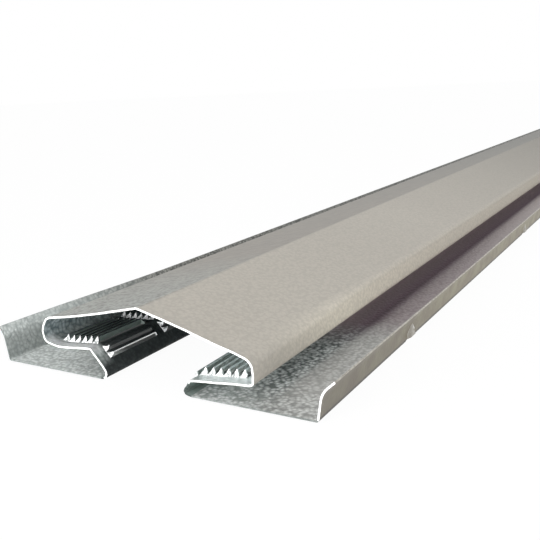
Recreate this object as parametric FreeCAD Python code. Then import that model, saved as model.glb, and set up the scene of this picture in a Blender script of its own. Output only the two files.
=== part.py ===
"""Baffled aluminium ridge vent, one full stock length, in millimetres.

The vent is a single strip of stucco-embossed aluminium sheet. Slits are lanced and pressed up into
banks of louvres while the strip is flat, and the strip is then roll-formed to one constant section:

    baffle lip, baffle, base, fold, web, louvre panel, skirt, cover slope, ridge, and the same mirrored.

Air rises through the throat between the two folds, turns outwards under the cover, drops through the
louvres and leaves over the baffles. X runs across the vent, Y along the ridge, Z up. The origin is at
the middle of the length, midway across, on the plane that the base lies on.
"""

import FreeCAD
import Part

import math
import os
from FreeCAD import Vector

# Stock
LENGTH = 3048.0           # one 10 ft length
SHEET = 1.0               # thickness over the emboss

# Section, measured to the middle of the sheet unless a line says otherwise
BASE_WIDTH = 241.3        # from one baffle's foot to the other's
THROAT_WIDTH = 63.0       # clear gap between the two folds
WEB_ANGLE = 50.0          # degrees, the web's lean above the base
PANEL_HEIGHT = 16.5       # louvre panel, above the underside of the base
SKIRT_WIDTH = 165.0       # across the two skirts' lower corners
EAVE_WIDTH = 159.0        # across the two eaves
EAVE_HEIGHT = 32.5
RIDGE_HEIGHT = 50.3
BAFFLE_HEIGHT = 17.3      # where the baffle bends into its lip
BAFFLE_FLARE = 2.75       # how far the baffle leans out, foot to lip bend
LIP_REACH = 5.9           # the lip's run outwards
LIP_RISE = 6.7            # the lip's run upwards

# Bend radii, to the middle of the sheet
FOOT_RADIUS = 1.2
LIP_RADIUS = 6.0
FOLD_RADIUS = 4.0
WEB_RADIUS = 2.0
SKIRT_RADIUS = 2.0
EAVE_RADIUS = 4.0
RIDGE_RADIUS = 3.0

# Louvres, lanced side by side in banks that repeat along the length
PANEL_PITCH = 5.4         # across the strip, from one louvre to the next on a panel
WEB_PITCH = 4.2           # the same on a web
LOUVRE_LENGTH = 49.0
LOUVRE_ANGLE = 54.0       # degrees that a louvre is turned up about its hinge
LOUVRE_END_RUN = 3.0      # along the length, over which a louvre's end slopes up
PANEL_LAND = 0.6          # flat sheet left on the panel beside its bend into the web
WEB_LAND = 0.3            # flat sheet left on the web beside the same bend
SKIRT_LAND = 1.2          # least flat sheet left beside the skirt's bend
FOLD_LAND = 2.5           # least flat sheet left on the web beside the fold
BANK_SPACING = 57.0       # nearest spacing from one bank to the next
BANK_END_MARGIN = 9.5     # from a cut end to the first bank

# Weep slots through the foot of each baffle
WEEP_LENGTH = 16.0
WEEP_HEIGHT = 5.0         # above the underside of the base
WEEP_CHAMFER = 2.5        # taken off a slot's upper corners
WEEP_BASE_CUT = 2.5       # how far a slot reaches into the base
WEEP_SPACING = 394.0      # nearest spacing from one slot to the next
WEEP_END_MARGIN = 145.0   # from a cut end to the middle of the first slot

HALF_SHEET = SHEET / 2
HALF_LENGTH = LENGTH / 2
BASE_LEVEL = HALF_SHEET   # middle of the base sheet


def in_space(point, along_length):
    """A section point (x, z) at a place along the length."""
    return Vector(point[0], along_length, point[1])


class Flat:
    """A straight run of the section. Its left side, going from start to end, is the weather side."""

    def __init__(self, start, end):
        self.start = start
        self.length = math.dist(start, end)
        self.across = ((end[0] - start[0]) / self.length, (end[1] - start[1]) / self.length)

    def point(self, run, left):
        """The section point at a run from the start, and a distance to the left of mid-sheet."""
        dx, dz = self.across
        return (self.start[0] + dx * run - dz * left, self.start[1] + dz * run + dx * left)

    def edge(self, left):
        ends = (self.point(0, left), self.point(self.length, left))
        return Part.LineSegment(*(in_space(p, -HALF_LENGTH) for p in ends)).toShape()


class Bend:
    """A round run of the section, which joins two flats. Its turn is 1 to the left and -1 to the right."""

    def __init__(self, corner, before, after, radius):
        sine = before[0] * after[1] - before[1] * after[0]
        cosine = before[0] * after[0] + before[1] * after[1]
        angle = math.atan2(sine, cosine)
        self.turn = 1 if angle > 0 else -1
        self.radius = radius
        self.cut_back = radius * math.tan(abs(angle) / 2)
        self.start = (corner[0] - before[0] * self.cut_back, corner[1] - before[1] * self.cut_back)
        self.end = (corner[0] + after[0] * self.cut_back, corner[1] + after[1] * self.cut_back)
        side = self.turn * radius
        self.centre = (self.start[0] - before[1] * side, self.start[1] + before[0] * side)
        reach = radius / math.dist(corner, self.centre)
        self.middle = tuple(c + (p - c) * reach for c, p in zip(self.centre, corner))

    def edge(self, left):
        scale = (self.radius - self.turn * left) / self.radius
        points = (self.start, self.middle, self.end)
        moved = [tuple(c + (p - c) * scale for c, p in zip(self.centre, point)) for point in points]
        return Part.Arc(*(in_space(p, -HALF_LENGTH) for p in moved)).toShape()


def half_section():
    """The right half's corners from the ridge to the lip: (run that ends there, x, z, bend radius)."""
    fold_turn = math.radians(180 - WEB_ANGLE)
    fold_centre = THROAT_WIDTH / 2 + HALF_SHEET + FOLD_RADIUS
    fold_x = fold_centre - FOLD_RADIUS * math.tan(fold_turn / 2)
    web_top_x = fold_x + (PANEL_HEIGHT - BASE_LEVEL) / math.tan(math.radians(WEB_ANGLE))
    foot_x = BASE_WIDTH / 2
    lip_bend_x = foot_x + BAFFLE_FLARE
    return [
        ("cover", EAVE_WIDTH / 2, EAVE_HEIGHT, EAVE_RADIUS),
        ("skirt", SKIRT_WIDTH / 2, PANEL_HEIGHT, SKIRT_RADIUS),
        ("panel", web_top_x, PANEL_HEIGHT, WEB_RADIUS),
        ("web", fold_x, BASE_LEVEL, FOLD_RADIUS),
        ("base", foot_x, BASE_LEVEL, FOOT_RADIUS),
        ("baffle", lip_bend_x, BAFFLE_HEIGHT, LIP_RADIUS),
        ("lip", lip_bend_x + LIP_REACH, BAFFLE_HEIGHT + LIP_RISE, 0),
    ]


def section_path():
    """The whole section in order, from the left lip to the right one: its runs, and its flats by name."""
    right = half_section()
    corners = [(-x, z, radius) for _, x, z, radius in reversed(right)]
    corners += [(0.0, RIDGE_HEIGHT, RIDGE_RADIUS)]
    corners += [(x, z, radius) for _, x, z, radius in right]
    names = ["left_" + name for name, *_ in reversed(right)] + ["right_" + name for name, *_ in right]

    points = [(x, z) for x, z, _ in corners]
    raw = [Flat(a, b) for a, b in zip(points, points[1:])]
    bends = [
        Bend(points[i], raw[i - 1].across, raw[i].across, corners[i][2])
        for i in range(1, len(points) - 1)
    ]
    starts = [points[0]] + [bend.end for bend in bends]
    ends = [bend.start for bend in bends] + [points[-1]]
    flats = [Flat(a, b) for a, b in zip(starts, ends)]
    runs = [flats[0]]
    for bend, flat in zip(bends, flats[1:]):
        runs += [bend, flat]
    return runs, dict(zip(names, flats))


def formed_strip(runs):
    """The roll-formed strip before its louvres and weep slots."""
    weather = [run.edge(HALF_SHEET) for run in runs]
    inner = [run.edge(-HALF_SHEET) for run in reversed(runs)]
    right_end = Part.makeLine(weather[-1].Vertexes[-1].Point, inner[0].Vertexes[-1].Point)
    left_end = Part.makeLine(inner[-1].Vertexes[0].Point, weather[0].Vertexes[0].Point)
    outline = Part.Wire(Part.__sortEdges__(weather + [right_end] + inner + [left_end]))
    return Part.Face(outline).extrude(Vector(0, LENGTH, 0))


def evenly(first, last, spacing):
    """Places from first to last, as near to the spacing as fits."""
    gaps = max(1, round((last - first) / spacing))
    return [first + (last - first) * i / gaps for i in range(gaps + 1)]


def weep_slots():
    """Cutters for the drain slots along the foot of each baffle, with their upper corners chamfered."""
    inside = BASE_WIDTH / 2 - WEEP_BASE_CUT
    depth = WEEP_BASE_CUT + BAFFLE_FLARE + 2 * SHEET
    half, shoulder = WEEP_LENGTH / 2, WEEP_HEIGHT - WEEP_CHAMFER
    outline = [
        (-half, -SHEET), (half, -SHEET), (half, shoulder), (half - WEEP_CHAMFER, WEEP_HEIGHT),
        (WEEP_CHAMFER - half, WEEP_HEIGHT), (-half, shoulder),
    ]
    corners = [Vector(inside, y, z) for y, z in outline]
    right_slot = Part.Face(Part.makePolygon(corners + corners[:1])).extrude(Vector(depth, 0, 0))
    left_slot = right_slot.mirror(Vector(0, 0, 0), Vector(1, 0, 0))
    places = evenly(WEEP_END_MARGIN - HALF_LENGTH, HALF_LENGTH - WEEP_END_MARGIN, WEEP_SPACING)
    return [slot.translated(Vector(0, y, 0)) for y in places for slot in (left_slot, right_slot)]


class LouvredFlat:
    """A flat of the section with banks of louvres pressed out of its inner side.

    Each louvre is the strip between two slits. Its far edge stays in the sheet as a hinge, its near edge
    is swung up about that hinge, and its two ends slope down to the sheet, so it opens towards the start
    of the flat and is closed at both ends.
    """

    def __init__(self, flat, pitch, start_land, end_land):
        self.flat = flat
        self.pitch = pitch
        count = int((flat.length - start_land - end_land) / pitch)
        hinge_end = flat.length - end_land if end_land < start_land else start_land + count * pitch
        self.slits = [hinge_end - pitch * (count - i) for i in range(count + 1)]
        first = BANK_END_MARGIN - HALF_LENGTH
        self.banks = evenly(first, -first - LOUVRE_LENGTH, BANK_SPACING)

    def at(self, run, along_length, height):
        """A point at a run across the flat and a height above mid-sheet, on the inner side."""
        return in_space(self.flat.point(run, -height), along_length)

    def face(self, corners):
        points = [self.at(*corner) for corner in corners]
        return Part.Face(Part.makePolygon(points + points[:1]))

    def louvre(self, slit, hinge, near):
        """The faces of one louvre, with the lower edge that its slit leaves on the sheet beside it."""
        far = near + LOUVRE_LENGTH
        low, high = -HALF_SHEET, HALF_SHEET
        turn = math.radians(LOUVRE_ANGLE)
        tip = hinge - self.pitch * math.cos(turn)
        rise = self.pitch * math.sin(turn)
        tip_low, tip_high = low + rise, high + rise
        near_tip, far_tip = near + LOUVRE_END_RUN, far - LOUVRE_END_RUN
        faces = [
            [(hinge, near, high), (hinge, far, high), (tip, far_tip, tip_high), (tip, near_tip, tip_high)],
            [(hinge, near, low), (hinge, far, low), (tip, far_tip, tip_low), (tip, near_tip, tip_low)],
            [(tip, near_tip, tip_low), (tip, near_tip, tip_high), (tip, far_tip, tip_high), (tip, far_tip, tip_low)],
            [(slit, near, low), (slit, near, high), (slit, far, high), (slit, far, low)],
        ]
        for end, end_tip in ((near, near_tip), (far, far_tip)):
            faces += [
                [(slit, end, high), (hinge, end, high), (tip, end_tip, tip_high)],
                [(slit, end, high), (hinge, end, low), (tip, end_tip, tip_low)],
                [(slit, end, high), (tip, end_tip, tip_high), (tip, end_tip, tip_low)],
                [(slit, end, high), (hinge, end, low), (slit, end, low)],
            ]
        return [self.face(corners) for corners in faces]

    def skin(self, height):
        """The flat's own face on one side, with a window for each bank."""
        def loop(places):
            points = [self.at(run, y, height) for run, y in places]
            return Part.makePolygon(points + points[:1])

        width = self.flat.length
        wires = [loop([(0, -HALF_LENGTH), (width, -HALF_LENGTH), (width, HALF_LENGTH), (0, HALF_LENGTH)])]
        for near in self.banks:
            far = near + LOUVRE_LENGTH
            near_side = [(slit, near) for slit in self.slits]
            far_side = [(slit, far) for slit in reversed(self.slits)]
            wires.append(loop(near_side + far_side))
        return Part.Face(wires, "Part::FaceMakerBullseye")

    def faces(self):
        louvres = [
            face
            for near in self.banks
            for slit, hinge in zip(self.slits, self.slits[1:])
            for face in self.louvre(slit, hinge, near)
        ]
        return [self.skin(HALF_SHEET), self.skin(-HALF_SHEET)] + louvres

    def plain_middles(self):
        """The middles of the two plain faces that the louvred skins take the place of."""
        return [self.at(self.flat.length / 2, 0, height) for height in (HALF_SHEET, -HALF_SHEET)]


def vent_body():
    runs, flats = section_path()
    strip = formed_strip(runs).cut(Part.makeCompound(weep_slots()))
    louvred = [
        LouvredFlat(flats["left_web"], WEB_PITCH, FOLD_LAND, WEB_LAND),
        LouvredFlat(flats["left_panel"], PANEL_PITCH, PANEL_LAND, SKIRT_LAND),
        LouvredFlat(flats["right_panel"], PANEL_PITCH, SKIRT_LAND, PANEL_LAND),
        LouvredFlat(flats["right_web"], WEB_PITCH, WEB_LAND, FOLD_LAND),
    ]
    replaced = [middle for flat in louvred for middle in flat.plain_middles()]
    kept = [
        face for face in strip.Faces
        if all(face.CenterOfMass.distanceToPoint(middle) > HALF_SHEET / 10 for middle in replaced)
    ]
    pressed = [face for flat in louvred for face in flat.faces()]
    shell = Part.makeCompound(kept + pressed)
    shell.sewShape()
    return Part.makeSolid(shell.Shells[0])


body = vent_body()
os.makedirs("parts", exist_ok=True)
body.exportStep("parts/vent_body.step")
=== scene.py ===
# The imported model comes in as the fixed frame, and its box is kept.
import math

import bmesh
import bpy
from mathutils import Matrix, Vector


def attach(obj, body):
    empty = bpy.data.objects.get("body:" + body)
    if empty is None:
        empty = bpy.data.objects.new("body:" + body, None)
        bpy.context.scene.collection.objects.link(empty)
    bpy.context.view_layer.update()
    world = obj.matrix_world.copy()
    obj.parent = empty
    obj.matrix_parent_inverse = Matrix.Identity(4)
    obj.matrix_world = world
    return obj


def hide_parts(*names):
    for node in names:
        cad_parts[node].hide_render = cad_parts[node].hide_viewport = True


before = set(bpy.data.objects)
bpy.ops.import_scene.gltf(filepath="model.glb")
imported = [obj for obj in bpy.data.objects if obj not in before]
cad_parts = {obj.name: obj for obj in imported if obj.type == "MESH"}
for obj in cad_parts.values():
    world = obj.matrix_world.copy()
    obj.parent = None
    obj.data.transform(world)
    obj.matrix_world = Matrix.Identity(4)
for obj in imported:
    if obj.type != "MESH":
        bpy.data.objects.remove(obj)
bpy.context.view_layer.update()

# The vent is one strip of embossed aluminium sheet, coated on the coil and roll-formed to a single section.
# It starts here as a single edge, one louvre bank long, that is drawn round the section from lip to lip.
mm = 0.001
stock_length = 3048 * mm
sheet = 1.0 * mm
bank_count = 53
end_margin = 9.5 * mm
louvre_length = 49 * mm
bank_pitch = (stock_length - 2 * end_margin - louvre_length) / (bank_count - 1)
# Places closer than this are the same place.
same = 0.001 * mm

# Corners of the section from the left lip to the right one, at the middle of the sheet: x, z and bend radius
# in mm. The left side stands higher and its lip is shorter.
section = [
    (-126.4, 22.2, 0), (-123.1, 16.0, 16), (-120.65, 0.5, 1.2), (-27.42, 0.5, 4), (-40.85, 16.5, 2),
    (-82.5, 16.5, 2), (-79.5, 36.5, 4), (0, 51.8, 3), (79.5, 32.5, 4), (82.5, 16.5, 2),
    (40.85, 16.5, 2), (27.42, 0.5, 4), (120.65, 0.5, 1.2), (123.4, 17.3, 12), (131.2, 24.2, 0),
]
corners = [(Vector((x, 0, z)) * mm, radius * mm) for x, z, radius in section]

bpy.ops.object.select_all(action="DESELECT")
bpy.ops.mesh.primitive_plane_add(size=bank_pitch)
vent = bpy.context.object
vent.name = "vent_sheet"
bpy.ops.object.mode_set(mode="EDIT")


def pick(kind, test):
    """Selects the strip's verts, edges or faces that pass a test."""
    bpy.ops.mesh.select_mode(type={"verts": "VERT", "edges": "EDGE", "faces": "FACE"}[kind])
    bpy.ops.mesh.select_all(action="DESELECT")
    strip = bmesh.from_edit_mesh(vent.data)
    for item in getattr(strip, kind):
        if test(item):
            item.select_set(True)
    bmesh.update_edit_mesh(vent.data)


def lies_at(vert, place):
    """Whether a vertex lies on the lengthwise line through a place in the section."""
    return math.hypot(vert.co.x - place.x, vert.co.z - place.z) < same


pick("verts", lambda vert: vert.co.x < 0)
bpy.ops.mesh.delete(type="VERT")
bpy.ops.mesh.select_all(action="SELECT")
bpy.ops.transform.translate(value=corners[0][0] - Vector((bank_pitch / 2, 0, 0)))
for (place, _), (next_place, _) in zip(corners, corners[1:]):
    bpy.ops.mesh.extrude_edges_move(TRANSFORM_OT_translate={"value": next_place - place})

# Every fold line is rolled to its own radius. The flats between the folds are kept as start, direction and
# width.
flats = {}
flat_start = corners[0][0]
for index in range(1, len(corners) - 1):
    place, radius = corners[index]
    before = (place - corners[index - 1][0]).normalized()
    after = (corners[index + 1][0] - place).normalized()
    cut_back = radius * math.tan(before.angle(after) / 2)
    pick("edges", lambda edge: all(lies_at(vert, place) for vert in edge.verts))
    bpy.ops.mesh.bevel(offset_type="OFFSET", offset=cut_back, segments=5, affect="EDGES")
    flats[index - 1] = (flat_start, before, (place - before * cut_back - flat_start).length)
    flat_start = place + after * cut_back

# Louvres are lanced through the webs and panels in banks of eight, six on a panel and two at the top of a
# web. One edge of each is swung up about the other, so that its ends slope. They all open towards the right.
panel_pitch = 5.4 * mm
web_pitch = 4.2 * mm
louvre_turn = math.radians(54)
louvre_end_run = 3.0 * mm
tear_curve = 0.6 * mm
panel_land = 0.6 * mm
web_land = 0.3 * mm
bank_end = louvre_length / 2
end_start = bank_end - louvre_end_run
end_middle = bank_end - louvre_end_run / 2
for y in (-bank_end, -end_start, end_start, bank_end):
    bpy.ops.mesh.select_all(action="SELECT")
    bpy.ops.mesh.bisect(plane_co=(0, y, 0), plane_no=(0, 1, 0))

left_web, left_panel, right_panel, right_web = 3, 4, 9, 10
louvred = [
    (left_web, 2, web_pitch, flats[left_web][2] - web_land - 2 * web_pitch),
    (left_panel, 6, panel_pitch, panel_land),
    (right_panel, 6, panel_pitch, flats[right_panel][2] - panel_land - 6 * panel_pitch),
    (right_web, 2, web_pitch, web_land),
]
for flat, count, pitch, first_slit in louvred:
    start, across, width = flats[flat]
    rise = pitch * math.sin(louvre_turn)
    swing = pitch * (1 - math.cos(louvre_turn))
    inner_side = Vector((across.z, 0, -across.x))
    slits = [first_slit + pitch * i for i in range(count + 1)]
    if flat == left_web:
        lowest_edge = start + across * (first_slit + swing) + inner_side * rise

    def run(place):
        return (place - start).dot(across)

    def height(place):
        return (place - start).dot(inner_side)

    def on_flat(place):
        return abs(height(place)) < same and -same < run(place) < width + same

    def on_slit(place, slit):
        return on_flat(place) and abs(run(place) - slit) < same and abs(place.y) < bank_end

    for slit in slits:
        pick("faces", lambda face: on_flat(face.calc_center_median()))
        bpy.ops.mesh.bisect(plane_co=start + across * slit, plane_no=across)

    def is_slit_edge(edge):
        first, last = (vert.co for vert in edge.verts)
        if abs(first.y - last.y) < same:
            return False
        return any(on_slit((first + last) / 2, slit) for slit in slits[:-1])

    pick("edges", is_slit_edge)
    bpy.ops.mesh.edge_split(type="EDGE")

    def is_raised(vert):
        if not any(on_slit(vert.co, slit) for slit in slits[:-1]):
            return False
        return all(run(face.calc_center_median()) > run(vert.co) for face in vert.link_faces)

    pick("verts", is_raised)
    bpy.ops.transform.translate(value=inner_side * rise + across * swing)

    def is_end_corner(vert):
        if abs(abs(vert.co.y) - bank_end) < same:
            return on_flat(vert.co) and any(abs(run(vert.co) - slit) < same for slit in slits)
        return abs(height(vert.co) - rise) < same and -same < run(vert.co) < width

    pick("verts", is_end_corner)
    bpy.ops.mesh.vert_connect()

    # The press tore the ends, so their sides curve towards the opening.
    def is_end_face(face):
        middle = face.calc_center_median()
        return same < height(middle) < rise and 0 < run(middle) < width and abs(middle.y) > end_start

    for y in (-end_middle, end_middle):
        pick("faces", is_end_face)
        bpy.ops.mesh.bisect(plane_co=(0, y, 0), plane_no=(0, 1, 0))

    def is_torn_side(vert):
        at_middle = abs(abs(vert.co.y) - end_middle) < same
        return at_middle and abs(height(vert.co) - rise / 2) < same and 0 < run(vert.co) < width

    pick("verts", is_torn_side)
    bpy.ops.transform.translate(value=-across * tear_curve)

# The cover and skirts get a few lines along them, so that the near end can be bent, and the foot of each
# baffle gets the two lines that its weep slots are cut to.
beyond_skirt = 84 * mm
baffle_side = 119 * mm
foot = 120.65 * mm
weep_reach = 2.6 * mm
weep_height = 5.0 * mm
for x in (-66, -52, -34, -17, 17, 34, 46, 57, 68):
    pick("faces", lambda face: face.calc_center_median().z > 33 * mm)
    bpy.ops.mesh.bisect(plane_co=(x * mm, 0, 0), plane_no=(1, 0, 0))
for z in (20.5, 24.5, 28.5):
    pick("faces", lambda face: 79 * mm < abs(face.calc_center_median().x) < beyond_skirt)
    bpy.ops.mesh.bisect(plane_co=(0, 0, z * mm), plane_no=(0, 0, 1))
pick("faces", lambda face: abs(face.calc_center_median().x) > baffle_side)
bpy.ops.mesh.bisect(plane_co=(0, 0, weep_height), plane_no=(0, 0, 1))
for x in (weep_reach - foot, foot - weep_reach):
    pick("faces", lambda face: face.calc_center_median().z < sheet)
    bpy.ops.mesh.bisect(plane_co=(x, 0, 0), plane_no=(1, 0, 0))

# Slots for the finishes, three to each run of the section: weather side, inner side and edge. The cover keeps
# the first three. The last three are for the sawn ends and painted highlights, the torn louvre ends, and the
# lip edges and hoods that are painted lighter as light.
louvre_slot, base_slot, sawn_and_highlight_slot, torn_slot, painted_light_slot = 3, 6, 9, 10, 11
inner_side_on = 1
edge_on = 2
base_middle = 100 * mm
for slot in range(painted_light_slot + 1):
    vent.data.materials.append(None)


def give(slot, test):
    """Puts the faces that pass a test in a material slot."""
    pick("faces", test)
    vent.active_material_index = slot
    bpy.ops.object.material_slot_assign()


def in_cover(face):
    """Whether a face is in the slopes, the eaves or the skirts."""
    middle = face.calc_center_median()
    if abs(middle.x) > base_middle:
        return False
    return middle.z > 24 * mm or (abs(middle.x) > 77 * mm and middle.z > 16.9 * mm)


def in_base(face):
    """Whether a face is in the bases or the baffles."""
    middle = face.calc_center_median()
    return abs(middle.x) > base_middle or (abs(middle.x) > 38 * mm and middle.z < 0.7 * mm)


give(louvre_slot, lambda face: not in_cover(face) and not in_base(face))
give(base_slot, in_base)

# One bank's length of strip is repeated along the stock, and the two cut ends run on past the last banks.
# Places on the long strip are true to a hundredth of a millimetre.
near_end = -stock_length / 2
far_end = stock_length / 2
end_band = 0.1 * mm
close = 0.01 * mm
bpy.ops.mesh.select_all(action="SELECT")
bpy.ops.transform.translate(value=(0, near_end + end_margin + bank_end, 0))
bpy.ops.object.mode_set(mode="OBJECT")
banks = vent.modifiers.new("banks", "ARRAY")
banks.count = bank_count
banks.use_relative_offset = False
banks.use_constant_offset = True
banks.constant_offset_displace = (0, bank_pitch, 0)
banks.use_merge_vertices = True
banks.merge_threshold = close
bpy.ops.object.modifier_apply(modifier=banks.name)
bpy.ops.object.mode_set(mode="EDIT")
end_run = end_margin - (bank_pitch - louvre_length) / 2
pick("verts", lambda vert: vert.co.y < near_end + end_run + end_band)
bpy.ops.transform.translate(value=(0, -end_run, 0))
pick("verts", lambda vert: vert.co.y > far_end - end_run - end_band)
bpy.ops.transform.translate(value=(0, end_run, 0))

# Weep slots drain the trough inside each baffle. They are punched through its foot, with the upper corners
# cut off.
weep_count = 8
weep_length = 15 * mm
weep_half = weep_length / 2
weep_corner = 3 * mm
weep_corner_drop = 2.6 * mm
weep_spacing = 394 * mm
weep_margin = 147 * mm
weeps = [near_end + weep_margin + weep_spacing * i for i in range(weep_count)]


def beside_weep(place):
    """Whether a place is within the length of a weep slot along the strip."""
    return any(abs(place.y - weep) < weep_half for weep in weeps)


for weep in weeps:
    for y in (-weep_half, weep_corner - weep_half, weep_half - weep_corner, weep_half):
        pick("faces", lambda face: abs(face.calc_center_median().y - weep) < bank_pitch
             and abs(face.calc_center_median().x) > beyond_skirt)
        bpy.ops.mesh.bisect(plane_co=(0, weep + y, 0), plane_no=(0, 1, 0))


def in_weep(face):
    middle = face.calc_center_median()
    at_foot = abs(middle.x) > foot - weep_reach and middle.z < weep_height
    return at_foot and beside_weep(middle)


def at_weep(vert, height, spread):
    """Whether a vertex is one of a pair at a height on a baffle, spread evenly about a slot's middle."""
    if abs(vert.co.x) < baffle_side or abs(vert.co.z - height) > close:
        return False
    return any(abs(abs(vert.co.y - weep) - spread) < close for weep in weeps)


pick("faces", in_weep)
bpy.ops.mesh.delete(type="FACE")
pick("verts", lambda vert: at_weep(vert, weep_height, weep_half))
bpy.ops.transform.translate(value=(0, 0, -weep_corner_drop))

# Above each slot the sheet is pushed out into a small hood, narrower at the top.
hood_height = 11.5 * mm
hood_rim = 2 * mm
hood_push = 2.2 * mm
hood_droop = 1.8 * mm
shoulder_drop = 5 * mm
shoulder_tuck = 0.82 * mm
hood_gather = 3 * mm
for weep in weeps:
    pick("faces", lambda face: abs(face.calc_center_median().y - weep) < weep_half
         and abs(face.calc_center_median().x) > baffle_side)
    bpy.ops.mesh.bisect(plane_co=(0, 0, hood_height), plane_no=(0, 0, 1))


def in_hood(face):
    middle = face.calc_center_median()
    on_baffle = abs(middle.x) > baffle_side and hood_rim < middle.z < hood_height - hood_rim
    return on_baffle and beside_weep(middle)


hood_half = weep_half - weep_corner
for side in (-1, 1):
    pick("verts", lambda vert: vert.co.x * side > 0 and at_weep(vert, weep_height, hood_half))
    bpy.ops.transform.translate(value=(side * hood_push, 0, -hood_droop))
    pick("verts", lambda vert: vert.co.x * side > 0 and at_weep(vert, hood_height, weep_half))
    bpy.ops.transform.translate(value=(-side * shoulder_tuck, 0, -shoulder_drop))
    for turn in (-1, 1):
        pick("verts", lambda vert: vert.co.x * side > 0 and at_weep(vert, hood_height, hood_half)
             and any(0 < (vert.co.y - weep) * turn < weep_half for weep in weeps))
        bpy.ops.transform.translate(value=(0, -turn * hood_gather, 0))

# The near end has been knocked out of true. Each entry is a place on the section and how far it has moved
# there, x and z in mm. The bend dies away along the first stretch of the strip.
near_end_moves = [
    (-126.4, 22.2, -1.4, 2.4), (-123.1, 16.0, -0.9, 2.5), (-120.65, 0.5, -0.6, 0), (-34, 0.5, 0, 0),
    (-32, 4.5, 0.3, 0.7), (-33.8, 8.1, -0.5, 1.9), (-40.85, 16.5, -2.2, 3.2), (-52, 16.5, -2, 2.3),
    (-61, 16.5, -1.8, 1.4), (-70, 16.5, -1.6, 0.8), (-79, 16.5, -1.3, 2.2), (-82.5, 16.5, -1.2, 3.6),
    (-81.2, 24.5, -3.6, 2.1), (-80.3, 30, -3, 1.6), (-79.5, 36.5, -0.1, 0.1), (-60, 40.2, 0, -0.9),
    (-31, 45.8, 0, -0.7), (-14, 49.1, 0, -0.1), (0, 51.8, -1.3, 0), (17, 47.7, 0, -0.5),
    (40, 42.1, 0, -1.1), (52, 39.2, 0, -2.2), (66, 35.8, 0, -2.1), (76.9, 33.1, -1.4, -2.6),
    (79.5, 32.5, -0.3, -3.6), (80, 29.9, 0, -4.6), (81, 24.5, -0.6, -3.8), (82.5, 16.5, -2.6, -2.2),
    (78, 16.5, -4.2, -2.4), (71.3, 16.5, -4.8, -2.9), (57.5, 16.5, -5.4, -4.4), (43.1, 16.5, -6.1, -5.7),
    (40.85, 16.5, -5.2, -6.1), (36.9, 11.8, -2.6, -3.6), (32.94, 7.07, 0.26, -0.7),
    (32.12, 5.47, 0.28, -0.2), (32.09, 3.67, -0.3, 0), (32.85, 2.04, -0.2, -0.25), (34.25, 0.9, -0.1, 0.3),
    (36, 0.5, 0, 0), (120.65, 0.5, 0, 0), (123.4, 17.3, 0, 0.5), (131.2, 24.2, 0.2, 1.0),
]
near_end_reach = 200 * mm


def near_end_move(place):
    """How far the sheet has moved at a place in the section, read between the two nearest listed places."""
    best = None
    for before, after in zip(near_end_moves, near_end_moves[1:]):
        start = Vector((before[0], 0, before[1])) * mm
        along = Vector((after[0], 0, after[1])) * mm - start
        part = min(max((place - start).dot(along) / along.length_squared, 0), 1)
        distance = (place - start - along * part).length
        if best is None or distance < best[0]:
            start_move = Vector((before[2], 0, before[3])) * mm
            best = (distance, start_move.lerp(Vector((after[2], 0, after[3])) * mm, part))
    return best[1]


strip = bmesh.from_edit_mesh(vent.data)
for vert in strip.verts:
    far = (vert.co.y - near_end) / near_end_reach
    if far < 1:
        vert.co += near_end_move(Vector((vert.co.x, 0, vert.co.z))) * (1 - far * far * (3 - 2 * far))
bmesh.update_edit_mesh(vent.data)

# The sheet gets its thickness, with a burr where the near end was sawn. A narrow band along both cut ends is
# painted bright as a highlight, which widens the line of the cut.
saw_highlight_band = 0.5 * mm
burr = 0.2 * mm
fold_side = 30 * mm
for y in (near_end + saw_highlight_band, far_end - saw_highlight_band):
    bpy.ops.mesh.select_all(action="SELECT")
    bpy.ops.mesh.bisect(plane_co=(0, y, 0), plane_no=(0, 1, 0))
bpy.ops.object.mode_set(mode="OBJECT")
stoutness = vent.vertex_groups.new(name="stoutness")
stoutness.add(range(len(vent.data.vertices)), sheet / (sheet + burr), "REPLACE")
burred = [
    vert.index for vert in vent.data.vertices
    if vert.co.y < near_end + end_band and vert.co.z > 2 * mm and vert.co.x > -base_middle
]
stoutness.add(burred, 1.0, "REPLACE")
thickness = vent.modifiers.new("sheet", "SOLIDIFY")
thickness.thickness = sheet + burr
thickness.offset = 0
thickness.vertex_group = stoutness.name
thickness.material_offset = inner_side_on
thickness.material_offset_rim = edge_on
bpy.ops.object.modifier_apply(modifier=thickness.name)
vent.vertex_groups.clear()
bpy.ops.object.mode_set(mode="EDIT")


def is_sawn_or_highlight(face):
    """Whether a face is at a saw cut, or on the lowest louvre edge of the first bank on the left, painted
    bright as a highlight.
    """
    middle = face.calc_center_median()
    if middle.y < near_end + saw_highlight_band or middle.y > far_end - saw_highlight_band:
        return middle.z > 1.2 * mm and middle.x > -base_middle and not fold_side < middle.x < 36 * mm
    if face.material_index != louvre_slot + edge_on or middle.y > near_end + bank_pitch:
        return False
    return math.hypot(middle.x - lowest_edge.x, middle.z - lowest_edge.z) < 2.5 * mm


def is_torn(face):
    """Whether a face is on a sloping louvre end."""
    if face.material_index != louvre_slot + inner_side_on or abs(face.normal.y) < 0.3:
        return False
    return fold_side < abs(face.calc_center_median().x) < beyond_skirt


def is_fold_end(face):
    """Whether a face is on the cut end of the right fold, which is painted dark as shade."""
    middle = face.calc_center_median()
    at_fold = fold_side < middle.x < 38 * mm and middle.z < 9 * mm
    return at_fold and face.material_index == louvre_slot + edge_on


def is_lip_edge(face):
    """Whether a face is on the long edge of a lip."""
    at_end = abs(face.normal.y) > 0.9
    return face.material_index == base_slot + edge_on and face.calc_center_median().z > 15 * mm and not at_end


give(sawn_and_highlight_slot, is_sawn_or_highlight)
give(torn_slot, is_torn)
give(louvre_slot, is_fold_end)
# The lip edges and the hoods take the back coat that is painted lighter as light.
give(painted_light_slot, is_lip_edge)
give(painted_light_slot, lambda face: face.material_index == base_slot + inner_side_on and in_hood(face))
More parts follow.
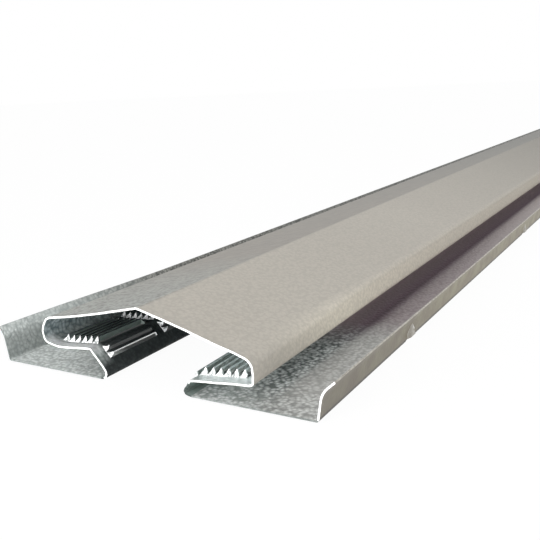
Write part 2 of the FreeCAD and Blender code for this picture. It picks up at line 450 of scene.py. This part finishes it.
# The flank of each hood that is turned from the near end is painted bright as a highlight.
give(sawn_and_highlight_slot, lambda face: face.material_index == painted_light_slot and in_hood(face) and face.normal.y > 0.15)
bpy.ops.object.mode_set(mode="OBJECT")
bpy.ops.object.shade_smooth_by_angle(angle=math.radians(25))


def srgb(code):
    """A hex colour as linear values."""
    parts = [int(code[i:i + 2], 16) / 255 for i in (1, 3, 5)]
    return [part / 12.92 if part <= 0.04045 else ((part + 0.055) / 1.055) ** 2.4 for part in parts] + [1]


def add(tree, kind, inputs, **settings):
    """Adds a node. An input is given a value, or a socket to link from."""
    # A Mix node's colours are its inputs 6 and 7. A Map Range node takes the range from input 1 to input 2
    # over to the range from input 3 to input 4.
    node = tree.nodes.new(kind)
    for name, value in settings.items():
        setattr(node, name, value)
    for name, value in inputs.items():
        if isinstance(value, bpy.types.NodeSocket):
            tree.links.new(value, node.inputs[name])
        else:
            node.inputs[name].default_value = value
    return node


def new_finish(name):
    """A new material, with its node tree and its shader."""
    finish = bpy.data.materials.new(name)
    finish.use_nodes = True
    return finish, finish.node_tree, finish.node_tree.nodes["Principled BSDF"]


def places(tree):
    """Where a point is on the strip: its place, x, distance from the near cut and z."""
    place = add(tree, "ShaderNodeTexCoord", {}).outputs["Object"]
    x, y, z = add(tree, "ShaderNodeSeparateXYZ", {"Vector": place}).outputs
    from_cut = add(tree, "ShaderNodeMath", {0: y, 1: near_end}, operation="SUBTRACT")
    return place, x, from_cut.outputs[0], z


def embossed(tree, place):
    """How far a point is from the middle of its emboss bump, in bumps."""
    # Bumps are 2.8 mm apart, and their places wander by up to 2.8 mm over about 4.5 mm.
    wander = add(tree, "ShaderNodeTexNoise", {"Vector": place, "Scale": 1 / (4.5 * mm), "Detail": 1})
    moved = add(
        tree, "ShaderNodeVectorMath", {0: wander.outputs["Color"], 1: [2.8 * mm] * 3, 2: place},
        operation="MULTIPLY_ADD",
    )
    bumps = add(tree, "ShaderNodeTexVoronoi", {"Vector": moved.outputs[0], "Scale": 1 / (2.8 * mm)})
    return bumps.outputs["Distance"]


# Satin polyester coil coat, baked on before forming: even taupe over a fine emboss that shows as a soft
# grain, with painted shade in its dips. The left slope is painted darker as shade, with silver emboss showing
# through near the saw cut. Below the eaves the skirts are painted lighter as light, and far along the coat is
# painted darker as shade.
coat, tree, shader = new_finish("taupe_polyester_coil_coat")
place, x, from_cut, z = places(tree)
emboss = embossed(tree, place)
# The tone drifts a little over about 160 mm.
drift = add(tree, "ShaderNodeTexNoise", {"Vector": place, "Scale": 1 / (160 * mm), "Detail": 1})
tone = add(
    tree, "ShaderNodeMix", {0: drift.outputs["Fac"], 6: srgb("#b0aba1"), 7: srgb("#a7a198")}, data_type="RGBA"
)
# Painted shade: the left slope is darker, as it gets less light.
left = add(tree, "ShaderNodeMapRange", {"Value": x, 1: 1 * mm, 2: -3 * mm})
shade = add(
    tree, "ShaderNodeMix", {0: left.outputs[0], 6: tone.outputs[2], 7: srgb("#8f8981")}, data_type="RGBA"
)
# Painted shade: the coat darkens far along, as the light falls off there.
far = add(tree, "ShaderNodeMapRange", {"Value": from_cut, 1: 400 * mm, 2: 1300 * mm, 4: 0.9})
far_shade_tone = add(
    tree, "ShaderNodeMix", {0: left.outputs[0], 6: srgb("#7d7970"), 7: srgb("#6d6c66")}, data_type="RGBA"
)
far_painted_shade = add(
    tree, "ShaderNodeMix", {0: far.outputs[0], 6: shade.outputs[2], 7: far_shade_tone.outputs[2]}, data_type="RGBA"
)
# Painted light: the skirts below the eaves are lighter, most near the cut.
fade = add(tree, "ShaderNodeMapRange", {"Value": from_cut, 1: 100 * mm, 2: 400 * mm, 3: 0.85, 4: 0.5})
skirt = add(tree, "ShaderNodeMapRange", {"Value": z, 1: 34 * mm, 2: 28 * mm, 4: fade.outputs[0]})
painted_light = add(tree, "ShaderNodeMapRange", {"Value": from_cut, 1: 20 * mm, 2: 110 * mm, 4: skirt.outputs[0]})
pale = add(
    tree, "ShaderNodeMix", {0: painted_light.outputs[0], 6: far_painted_shade.outputs[2], 7: srgb("#d8d1c1")}, data_type="RGBA"
)
near = add(tree, "ShaderNodeMapRange", {"Value": from_cut, 1: 170 * mm, 2: 20 * mm})
worn = add(tree, "ShaderNodeMath", {0: near.outputs[0], 1: left.outputs[0]}, operation="MULTIPLY")
silver = add(
    tree, "ShaderNodeMix", {0: worn.outputs[0], 6: pale.outputs[2], 7: srgb("#9da09b")}, data_type="RGBA"
)
# Painted shade: the emboss dips are darker, most where the silver shows through.
dip = add(tree, "ShaderNodeMapRange", {"Value": emboss, 1: 0.3, 2: 0.7})
depth = add(tree, "ShaderNodeMapRange", {"Value": worn.outputs[0], 3: 0.18, 4: 0.65})
# The coat's own grain is 1.3 mm.
fine = add(tree, "ShaderNodeTexNoise", {"Vector": place, "Scale": 1 / (1.3 * mm), "Detail": 1})
speck = add(tree, "ShaderNodeMapRange", {"Value": fine.outputs["Fac"], 1: 0.4, 2: 0.7, 4: 0.1})
# The left slope's mottles are 4 mm long, and 16 mm wide so that they show on a slope that is seen edge on.
stretched = add(tree, "ShaderNodeVectorMath", {0: place, 1: (0.25, 1, 1)}, operation="MULTIPLY")
cloud = add(tree, "ShaderNodeTexNoise", {"Vector": stretched.outputs[0], "Scale": 1 / (4 * mm), "Detail": 2})
left_depth = add(tree, "ShaderNodeMath", {0: left.outputs[0], 1: 0.45}, operation="MULTIPLY")
mottle = add(
    tree, "ShaderNodeMapRange",
    {"Value": cloud.outputs["Fac"], 1: 0.4, 2: 0.7, 3: speck.outputs[0], 4: left_depth.outputs[0]},
)
grain_spots = add(tree, "ShaderNodeMath", {0: mottle.outputs[0], 1: speck.outputs[0]}, operation="MAXIMUM")
dark = add(
    tree, "ShaderNodeMath", {0: dip.outputs[0], 1: depth.outputs[0], 2: grain_spots.outputs[0]},
    operation="MULTIPLY_ADD",
)
grain_and_dip_shade = add(
    tree, "ShaderNodeMix", {0: dark.outputs[0], 6: silver.outputs[2], 7: srgb("#6c6c67")}, data_type="RGBA"
)
tree.links.new(grain_and_dip_shade.outputs[2], shader.inputs["Base Color"])
relief = add(
    tree, "ShaderNodeBump", {"Height": emboss, "Strength": 0.4, "Distance": 0.2 * mm}, invert=True
)
tree.links.new(relief.outputs["Normal"], shader.inputs["Normal"])
shader.inputs["Roughness"].default_value = 0.5
shader.inputs["Specular IOR Level"].default_value = 0.35

# Stucco-embossed mill aluminium: silver-grey with dark dips between its bumps near the saw cut, painted shade
# and reflection, softer on the left side and towards the right baffle. Further along it has dulled, to mauve
# outside the right skirt, with a purple painted shadow under it. Under the louvres near the cut it is painted
# lighter as light, and further in under the left louvres it is painted dark as shade.
mill, tree, shader = new_finish("stucco_mill_aluminium")
place, x, from_cut, z = places(tree)
emboss = embossed(tree, place)
dip = add(tree, "ShaderNodeMapRange", {"Value": emboss, 1: 0.2, 2: 0.75})
left_half = add(tree, "ShaderNodeMath", {0: x, 1: 0}, operation="LESS_THAN")
# Near the cut the emboss is strong, its dips painted dark as shade, and evened out on the left, by the right
# baffle and right at the cut.
bright = add(
    tree, "ShaderNodeMix", {0: dip.outputs[0], 6: srgb("#e2e6e4"), 7: srgb("#515856")}, data_type="RGBA"
)
left = add(tree, "ShaderNodeMapRange", {"Value": x, 1: 1 * mm, 2: -1 * mm, 4: 0.55})
outer = add(tree, "ShaderNodeMapRange", {"Value": x, 1: 80 * mm, 2: 87 * mm, 3: left.outputs[0], 4: 0.7})
front = add(
    tree, "ShaderNodeMapRange", {"Value": from_cut, 1: 10 * mm, 2: 40 * mm, 3: 0.5, 4: outer.outputs[0]}
)
even = add(
    tree, "ShaderNodeMix", {0: left_half.outputs[0], 6: srgb("#b4b3b0"), 7: srgb("#dbe0de")}, data_type="RGBA"
)
soft = add(
    tree, "ShaderNodeMix", {0: front.outputs[0], 6: bright.outputs[2], 7: even.outputs[2]}, data_type="RGBA"
)
baffle = add(tree, "ShaderNodeMapRange", {"Value": x, 1: -119 * mm, 2: -121 * mm, 4: 0.55})
dusky = add(
    tree, "ShaderNodeMix", {0: baffle.outputs[0], 6: soft.outputs[2], 7: srgb("#7b8280")}, data_type="RGBA"
)
# Painted light: under the louvres and the right skirt near the cut it is lightened against their shade, most
# on the right.
lit = add(tree, "ShaderNodeMapRange", {"Value": from_cut, 1: 5 * mm, 2: 35 * mm, 3: 0.95, 4: 0.36})
right = add(tree, "ShaderNodeMapRange", {"Value": x, 1: 34 * mm, 2: 40 * mm, 4: lit.outputs[0]})
under = add(tree, "ShaderNodeMapRange", {"Value": x, 1: 86 * mm, 2: 55 * mm, 4: right.outputs[0]})
left_under = add(
    tree, "ShaderNodeMapRange", {"Value": x, 1: -75 * mm, 2: -55 * mm, 4: left_half.outputs[0]}
)
left_lit = add(tree, "ShaderNodeMath", {0: left_under.outputs[0], 1: 0.35}, operation="MULTIPLY")
lighter = add(tree, "ShaderNodeMath", {0: under.outputs[0], 1: left_lit.outputs[0]}, operation="MAXIMUM")
painted_light_tone = add(
    tree, "ShaderNodeMix", {0: dip.outputs[0], 6: srgb("#ffffff"), 7: srgb("#b4bab7")}, data_type="RGBA"
)
painted_light = add(
    tree, "ShaderNodeMix", {0: lighter.outputs[0], 6: dusky.outputs[2], 7: painted_light_tone.outputs[2]},
    data_type="RGBA",
)
# Dulled metal further along.
dull = add(
    tree, "ShaderNodeMix", {0: dip.outputs[0], 6: srgb("#8b8b86"), 7: srgb("#4c4e4b")}, data_type="RGBA"
)
# Painted shadow: a purple band under the right skirt, darkest at its outer edge.
across_band = add(tree, "ShaderNodeMapRange", {"Value": x, 1: 60 * mm, 2: 83 * mm})
skirt_painted_shadow = add(
    tree, "ShaderNodeMix", {0: across_band.outputs[0], 6: srgb("#c8b5b8"), 7: srgb("#63545c")},
    data_type="RGBA",
)
band = add(tree, "ShaderNodeMath", {0: x, 1: 40 * mm}, operation="GREATER_THAN")
dark = add(
    tree, "ShaderNodeMix", {0: band.outputs[0], 6: dull.outputs[2], 7: skirt_painted_shadow.outputs[2]}, data_type="RGBA"
)
mauve = add(
    tree, "ShaderNodeMix", {0: dip.outputs[0], 6: srgb("#9e9496"), 7: srgb("#867c7e")}, data_type="RGBA"
)
distant = add(tree, "ShaderNodeMapRange", {"Value": from_cut, 1: 350 * mm, 2: 900 * mm, 4: 0.6})
paler = add(
    tree, "ShaderNodeMix", {0: distant.outputs[0], 6: mauve.outputs[2], 7: srgb("#b9b0ac")}, data_type="RGBA"
)
open_side = add(tree, "ShaderNodeMapRange", {"Value": x, 1: 84 * mm, 2: 91 * mm})
grey = add(
    tree, "ShaderNodeMix", {0: open_side.outputs[0], 6: dark.outputs[2], 7: paler.outputs[2]},
    data_type="RGBA",
)
turn_start = add(tree, "ShaderNodeMapRange", {"Value": open_side.outputs[0], 3: 112 * mm, 4: 132 * mm})
turn_end = add(tree, "ShaderNodeMath", {0: turn_start.outputs[0], 1: 55 * mm}, operation="ADD")
right_along = add(
    tree, "ShaderNodeMapRange", {"Value": from_cut, 1: turn_start.outputs[0], 2: turn_end.outputs[0]}
)
left_along = add(tree, "ShaderNodeMapRange", {"Value": from_cut, 1: 50 * mm, 2: 180 * mm})
along = add(
    tree, "ShaderNodeMapRange",
    {"Value": left_half.outputs[0], 3: right_along.outputs[0], 4: left_along.outputs[0]},
)
tone = add(
    tree, "ShaderNodeMix", {0: along.outputs[0], 6: painted_light.outputs[2], 7: grey.outputs[2]}, data_type="RGBA"
)
# Painted shade: dark under the left louvres, where they cast shade. And the dull line of the cut itself.
hidden = add(tree, "ShaderNodeMapRange", {"Value": x, 1: -100 * mm, 2: -90 * mm, 4: left_half.outputs[0]})
inward = add(tree, "ShaderNodeMapRange", {"Value": from_cut, 1: 30 * mm, 2: 50 * mm, 4: hidden.outputs[0]})
painted_shade = add(
    tree, "ShaderNodeMix", {0: inward.outputs[0], 6: tone.outputs[2], 7: srgb("#242827")}, data_type="RGBA"
)
at_cut = add(tree, "ShaderNodeMapRange", {"Value": from_cut, 1: 0.3 * mm, 2: 0, 4: 0.8})
cut = add(
    tree, "ShaderNodeMix", {0: at_cut.outputs[0], 6: painted_shade.outputs[2], 7: srgb("#5b6260")}, data_type="RGBA"
)
tree.links.new(cut.outputs[2], shader.inputs["Base Color"])
relief = add(
    tree, "ShaderNodeBump", {"Height": emboss, "Strength": 0.7, "Distance": 0.5 * mm}, invert=True
)
tree.links.new(relief.outputs["Normal"], shader.inputs["Normal"])
shader.inputs["Metallic"].default_value = 0.35
shader.inputs["Roughness"].default_value = 0.45

# Thin clear wash coat on the inner side: greenish silver over the same emboss, bluer high up under the cover,
# with painted shade in the emboss dips. It is painted lighter as light on the right. The left web and louvres
# are painted dark as shade, which stops near the saw cut, where the panel is painted white as light.
wash, tree, shader = new_finish("clear_wash_coat")
place, x, from_cut, z = places(tree)
emboss = embossed(tree, place)
# Painted shade: the emboss dips are darker.
dip = add(tree, "ShaderNodeMapRange", {"Value": emboss, 1: 0.2, 2: 0.75})
tone = add(
    tree, "ShaderNodeMix", {0: dip.outputs[0], 6: srgb("#dde2df"), 7: srgb("#9fa6a2")}, data_type="RGBA"
)
# Painted light: the right side is lighter, where the slats sit in shade.
right_side = add(tree, "ShaderNodeMapRange", {"Value": x, 1: 38 * mm, 2: 44 * mm, 4: 0.85})
painted_light = add(
    tree, "ShaderNodeMix", {0: right_side.outputs[0], 6: tone.outputs[2], 7: srgb("#f2f6f4")},
    data_type="RGBA",
)
high = add(tree, "ShaderNodeMapRange", {"Value": z, 1: 18 * mm, 2: 26 * mm, 4: 0.8})
cold = add(
    tree, "ShaderNodeMix", {0: dip.outputs[0], 6: srgb("#eafaff"), 7: srgb("#8b9da2")}, data_type="RGBA"
)
cool = add(
    tree, "ShaderNodeMix", {0: high.outputs[0], 6: painted_light.outputs[2], 7: cold.outputs[2]}, data_type="RGBA"
)
# Painted light by the cut: the painted shade stops there, and the panel top is painted white.
low = add(tree, "ShaderNodeMapRange", {"Value": z, 1: 24 * mm, 2: 20 * mm})
raised = add(tree, "ShaderNodeMapRange", {"Value": z, 1: 8 * mm, 2: 16 * mm, 4: low.outputs[0]})
lit_by_cut = add(
    tree, "ShaderNodeMapRange", {"Value": from_cut, 1: 6 * mm, 2: 11 * mm, 3: raised.outputs[0], 4: 0}
)
top = add(tree, "ShaderNodeMapRange", {"Value": z, 1: 15 * mm, 2: 18 * mm, 4: 0.75})
lit_strip_amount = add(tree, "ShaderNodeMath", {0: lit_by_cut.outputs[0], 1: top.outputs[0]}, operation="MULTIPLY")
lit_strip = add(
    tree, "ShaderNodeMix", {0: lit_strip_amount.outputs[0], 6: cool.outputs[2], 7: srgb("#ffffff")}, data_type="RGBA"
)
# Painted shade on the left, where the web and louvres sit in shade, thinner towards the left skirt.
outer = add(tree, "ShaderNodeMapRange", {"Value": x, 1: -82 * mm, 2: -66 * mm, 3: 0.35})
inner = add(tree, "ShaderNodeMapRange", {"Value": x, 1: 0, 2: -25 * mm})
left_shade_mask = add(tree, "ShaderNodeMath", {0: outer.outputs[0], 1: inner.outputs[0]}, operation="MULTIPLY")
shade_kept = add(tree, "ShaderNodeMapRange", {"Value": lit_by_cut.outputs[0], 3: 0.95, 4: 0})
painted_shade_amount = add(tree, "ShaderNodeMath", {0: left_shade_mask.outputs[0], 1: shade_kept.outputs[0]}, operation="MULTIPLY")
left_painted_shade = add(
    tree, "ShaderNodeMix", {0: painted_shade_amount.outputs[0], 6: lit_strip.outputs[2], 7: srgb("#2a2e2f")}, data_type="RGBA"
)
tree.links.new(left_painted_shade.outputs[2], shader.inputs["Base Color"])
relief = add(
    tree, "ShaderNodeBump", {"Height": emboss, "Strength": 0.7, "Distance": 0.5 * mm}, invert=True
)
tree.links.new(relief.outputs["Normal"], shader.inputs["Normal"])
# The roughness follows the painted shade.
roughness_in_shade = add(tree, "ShaderNodeMapRange", {"Value": painted_shade_amount.outputs[0], 3: 0.45, 4: 0.9})
tree.links.new(roughness_in_shade.outputs[0], shader.inputs["Roughness"])
shader.inputs["Metallic"].default_value = 0.3
shader.inputs["Specular IOR Level"].default_value = 0.25

# The outer faces of the baffles carry a smoother olive-taupe coat, in patches about 14 mm across, darker near
# the saw cut, and painted dark along the foot as shade.
baffle_coat, tree, shader = new_finish("olive_taupe_back_coat")
place, x, from_cut, z = places(tree)
emboss = embossed(tree, place)
drift = add(tree, "ShaderNodeTexNoise", {"Vector": place, "Scale": 1 / (14 * mm), "Detail": 4})
patch = add(tree, "ShaderNodeMapRange", {"Value": drift.outputs["Fac"], 1: 0.35, 2: 0.65})
tone = add(
    tree, "ShaderNodeMix", {0: patch.outputs[0], 6: srgb("#87826a"), 7: srgb("#736957")}, data_type="RGBA"
)
near = add(tree, "ShaderNodeMapRange", {"Value": from_cut, 1: 250 * mm, 2: 0, 4: 0.7})
shade = add(
    tree, "ShaderNodeMix", {0: near.outputs[0], 6: tone.outputs[2], 7: srgb("#59544b")}, data_type="RGBA"
)
# Painted shade: darker along the foot, where shade falls under it.
low = add(tree, "ShaderNodeMapRange", {"Value": z, 1: 3.6 * mm, 2: 1.8 * mm, 4: 0.85})
foot_painted_shade = add(
    tree, "ShaderNodeMix", {0: low.outputs[0], 6: shade.outputs[2], 7: srgb("#322e29")}, data_type="RGBA"
)
tree.links.new(foot_painted_shade.outputs[2], shader.inputs["Base Color"])
relief = add(
    tree, "ShaderNodeBump", {"Height": emboss, "Strength": 0.4, "Distance": 0.2 * mm}, invert=True
)
tree.links.new(relief.outputs["Normal"], shader.inputs["Normal"])
shader.inputs["Roughness"].default_value = 0.45

# Bare aluminium where the sheet was sawn, painted pure white as a highlight, with faint marks about 1.5 mm
# apart. It also serves as a painted highlight on one louvre edge and on a flank of each hood.
sawn_and_highlight, tree, shader = new_finish("sawn_aluminium_and_highlight")
place = add(tree, "ShaderNodeTexCoord", {}).outputs["Object"]
marks = add(tree, "ShaderNodeTexNoise", {"Vector": place, "Scale": 1 / (1.5 * mm), "Detail": 2})
tone = add(
    tree, "ShaderNodeMix", {0: marks.outputs["Fac"], 6: srgb("#ffffff"), 7: srgb("#f4f4f2")}, data_type="RGBA"
)
tree.links.new(tone.outputs[2], shader.inputs["Base Color"])
shader.inputs["Metallic"].default_value = 0.4
shader.inputs["Roughness"].default_value = 0.5

# Torn aluminium at the louvre ends: bare metal painted pure white as a glint, with dull tears about 2.5 mm
# apart.
torn, tree, shader = new_finish("torn_aluminium")
place = add(tree, "ShaderNodeTexCoord", {}).outputs["Object"]
tears = add(tree, "ShaderNodeTexNoise", {"Vector": place, "Scale": 1 / (2.5 * mm), "Detail": 2})
ragged = add(tree, "ShaderNodeMapRange", {"Value": tears.outputs["Fac"], 1: 0.54, 2: 0.6, 4: 0.8})
tone = add(
    tree, "ShaderNodeMix", {0: ragged.outputs[0], 6: srgb("#ffffff"), 7: srgb("#6f7674")}, data_type="RGBA"
)
tree.links.new(tone.outputs[2], shader.inputs["Base Color"])
shader.inputs["Metallic"].default_value = 0.4
shader.inputs["Roughness"].default_value = 0.5

# Weather side of the louvred run: dull wash coat with the emboss showing in bumps 2.8 mm apart, their dips
# painted dark as shade. It is painted darker as shade on the webs, folds and left panel, and painted dark as
# shade at the fold's cut end.
wash_and_painted_shade, tree, shader = new_finish("wash_coat_painted_shade")
place, x, from_cut, z = places(tree)
bumps = add(tree, "ShaderNodeTexVoronoi", {"Vector": place, "Scale": 1 / (2.8 * mm)})
dip = add(tree, "ShaderNodeMapRange", {"Value": bumps.outputs["Distance"], 1: 0.2, 2: 0.75})
tone = add(
    tree, "ShaderNodeMix", {0: dip.outputs[0], 6: srgb("#c9cfcc"), 7: srgb("#8f9693")}, data_type="RGBA"
)
# Painted shade: darker on the left side and on the right web and fold, which sit in shade.
inside = add(tree, "ShaderNodeMapRange", {"Value": x, 1: 41 * mm, 2: 38 * mm, 4: 0.92})
painted_shade = add(
    tree, "ShaderNodeMix", {0: inside.outputs[0], 6: tone.outputs[2], 7: srgb("#86928d")}, data_type="RGBA"
)
# Painted shade at the fold's cut end.
at_cut = add(tree, "ShaderNodeMapRange", {"Value": from_cut, 1: 0.3 * mm, 2: 0})
cut = add(
    tree, "ShaderNodeMix", {0: at_cut.outputs[0], 6: painted_shade.outputs[2], 7: srgb("#3c4341")}, data_type="RGBA"
)
tree.links.new(cut.outputs[2], shader.inputs["Base Color"])
shader.inputs["Roughness"].default_value = 0.8
shader.inputs["Specular IOR Level"].default_value = 0.1

# Back coat painted paler and greyer as light along the lip edges and on the hoods, in patches about 4 mm
# across.
lit_back_coat, tree, shader = new_finish("back_coat_painted_light")
place = add(tree, "ShaderNodeTexCoord", {}).outputs["Object"]
drift = add(tree, "ShaderNodeTexNoise", {"Vector": place, "Scale": 1 / (4 * mm), "Detail": 2})
patch = add(tree, "ShaderNodeMapRange", {"Value": drift.outputs["Fac"], 1: 0.4, 2: 0.6})
tone = add(
    tree, "ShaderNodeMix", {0: patch.outputs[0], 6: srgb("#a9a69d"), 7: srgb("#8d8980")}, data_type="RGBA"
)
tree.links.new(tone.outputs[2], shader.inputs["Base Color"])
shader.inputs["Roughness"].default_value = 0.45

cover_finishes = [coat, wash, wash]
louvre_finishes = [wash_and_painted_shade, wash, wash]
base_finishes = [mill, baffle_coat, mill]
for slot, finish in enumerate(cover_finishes + louvre_finishes + base_finishes + [sawn_and_highlight, torn, lit_back_coat]):
    vent.data.materials[slot] = finish
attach(vent, "root")
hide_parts("vent_body")

# The floor is a plain white studio sheet. What the camera, metal and glass see of it is nearly all its own
# white, and the rest takes the object's shadow.
bpy.ops.object.select_all(action="DESELECT")
bpy.ops.mesh.primitive_plane_add(size=60, location=(0, 0, -0.2 * mm))
floor = bpy.context.object
floor.name = "floor"
floor_white, tree, shader = new_finish("white_studio_floor")
shader.inputs["Base Color"].default_value = srgb("#f6f6f6")
shader.inputs["Roughness"].default_value = 1
shader.inputs["Specular IOR Level"].default_value = 0


def seen_directly(tree):
    """One where the camera, a mirror or glass sees a surface, and nothing where it only gives light."""
    ray = add(tree, "ShaderNodeLightPath", {}).outputs
    mirrored = add(
        tree, "ShaderNodeMath", {0: ray["Is Camera Ray"], 1: ray["Is Glossy Ray"]}, operation="MAXIMUM"
    )
    seen = add(
        tree, "ShaderNodeMath", {0: mirrored.outputs[0], 1: ray["Is Transmission Ray"]}, operation="MAXIMUM"
    )
    return seen.outputs[0]


glow = add(tree, "ShaderNodeEmission", {"Color": srgb("#ffffff"), "Strength": 1})
share = add(tree, "ShaderNodeMath", {0: seen_directly(tree), 1: 0.96}, operation="MULTIPLY")
white = add(tree, "ShaderNodeMixShader", {0: share.outputs[0], 1: shader.outputs[0], 2: glow.outputs[0]})
tree.links.new(white.outputs[0], tree.nodes["Material Output"].inputs["Surface"])
floor.data.materials.append(floor_white)

# Light: a wide panel lamp high on the right, a small low one in front of the near end on the left, a weak
# soft sun low on the right, and an even sky, which is plain white where it is seen directly or mirrored.
world = bpy.data.worlds.new("studio")
bpy.context.scene.world = world
world.use_nodes = True
tree = world.node_tree
sky = tree.nodes["Background"]
sky.inputs["Color"].default_value = srgb("#ffffff")
level = add(tree, "ShaderNodeMapRange", {"Value": seen_directly(tree), 3: 0.7, 4: 1})
tree.links.new(level.outputs[0], sky.inputs["Strength"])
# Each lamp's place from the near end, and its width, are in mm, and its power is in watts.
lamps = [
    ("overhead_lamp", (750, -200, 1700), 1000, 6),
    ("front_lamp", (-90, -480, 60), 260, 7),
]
lamp_aim = Vector((10 * mm, near_end, 15 * mm))
for name, (x, y, z), width, watts in lamps:
    lamp_place = Vector((x * mm, near_end + y * mm, z * mm))
    turn = (lamp_aim - lamp_place).to_track_quat("-Z", "Y").to_euler()
    bpy.ops.object.light_add(type="AREA", location=lamp_place, rotation=turn)
    lamp = bpy.context.object
    lamp.name = name
    lamp.data.size = width * mm
    lamp.data.energy = watts
    lamp.visible_camera = False
    lamp.visible_glossy = False
bpy.ops.object.light_add(type="SUN", rotation=(math.radians(-8), math.radians(63), 0))
lamp = bpy.context.object
lamp.name = "side_lamp"
lamp.data.energy = 0.9
lamp.data.angle = math.radians(20)

# The camera stands where the photograph was taken, close to the near cut end and a little above it.
bpy.ops.object.camera_add(
    location=(287.3 * mm, near_end - 327.7 * mm, 177.9 * mm),
    rotation=(math.radians(76.086), math.radians(2.688), math.radians(29.736)),
)
camera = bpy.context.object
camera.data.lens = 48.79
camera.data.sensor_width = 36
bpy.context.scene.camera = camera
bpy.context.scene.view_settings.view_transform = "Standard"
